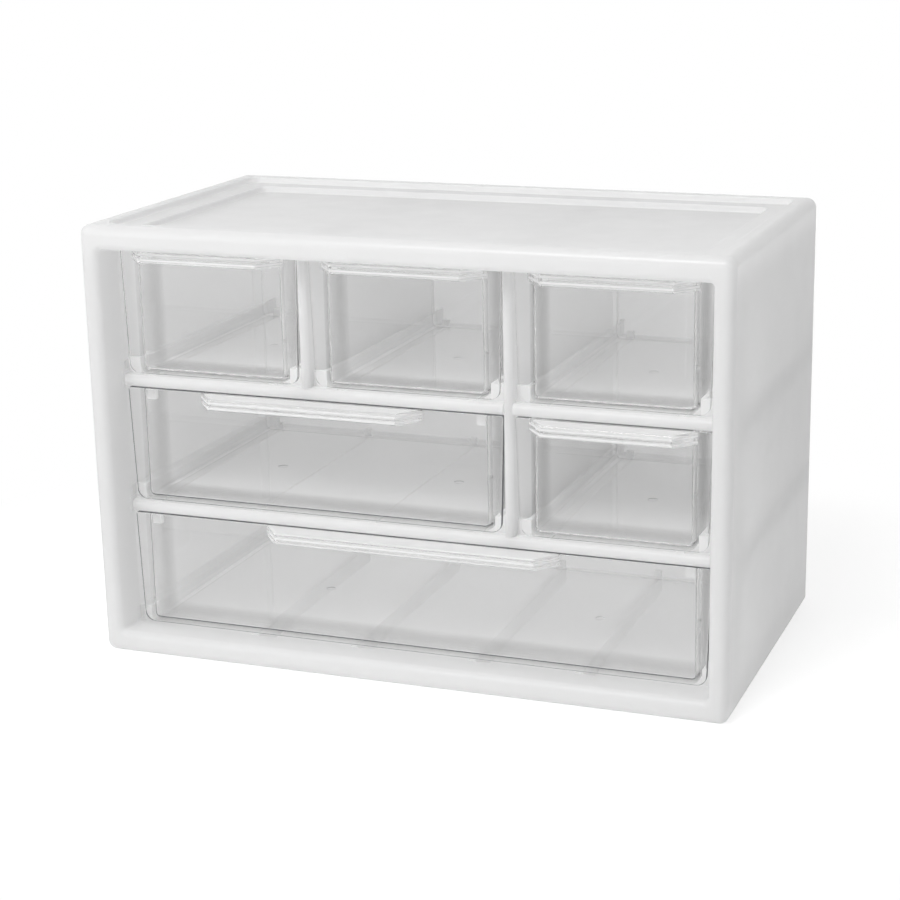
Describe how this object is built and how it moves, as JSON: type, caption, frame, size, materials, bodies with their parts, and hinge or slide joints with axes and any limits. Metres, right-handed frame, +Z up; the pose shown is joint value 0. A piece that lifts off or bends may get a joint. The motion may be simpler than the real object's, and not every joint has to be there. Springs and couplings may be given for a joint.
{
  "type": "drawer storage box",
  "caption": "Desktop storage box with a white moulded housing, a recessed tray top and clear pull-out drawers of small, double and full width.",
  "frame": {"origin": "middle of the base, on the surface that the box stands on", "axes": "+X to the right seen from the front, +Y from the front to the rear, +Z up"},
  "size_m": [0.26, 0.144, 0.175],
  "materials": {
    "housing_white": "satin",
    "drawer_clear": "clear gloss"
  },
  "bodies": {
    "housing": {"housing_shell": "housing_white", "rear_panel": "housing_white", "shelf_lower": "housing_white", "shelf_upper": "housing_white", "divider_left": "housing_white", "divider_right": "housing_white"},
    "drawer_top_left": {"drawer_top_left": "drawer_clear"},
    "drawer_top_centre": {"drawer_top_centre": "drawer_clear"},
    "drawer_top_right": {"drawer_top_right": "drawer_clear"},
    "drawer_middle_wide": {"drawer_middle_wide": "drawer_clear"},
    "drawer_middle_right": {"drawer_middle_right": "drawer_clear"},
    "drawer_bottom_full": {"drawer_bottom_full": "drawer_clear"}
  },
  "joints": [
    {"name": "drawer_top_left_slide", "type": "slide", "parent": "housing", "child": "drawer_top_left", "axis": [0, -1, 0], "range_m": [0, 0.1059]},
    {"name": "drawer_top_centre_slide", "type": "slide", "parent": "housing", "child": "drawer_top_centre", "axis": [0, -1, 0], "range_m": [0, 0.1059]},
    {"name": "drawer_top_right_slide", "type": "slide", "parent": "housing", "child": "drawer_top_right", "axis": [0, -1, 0], "range_m": [0, 0.1059]},
    {"name": "drawer_middle_wide_slide", "type": "slide", "parent": "housing", "child": "drawer_middle_wide", "axis": [0, -1, 0], "range_m": [0, 0.1059]},
    {"name": "drawer_middle_right_slide", "type": "slide", "parent": "housing", "child": "drawer_middle_right", "axis": [0, -1, 0], "range_m": [0, 0.1059]},
    {"name": "drawer_bottom_full_slide", "type": "slide", "parent": "housing", "child": "drawer_bottom_full", "axis": [0, -1, 0], "range_m": [0, 0.1059]}
  ]
}
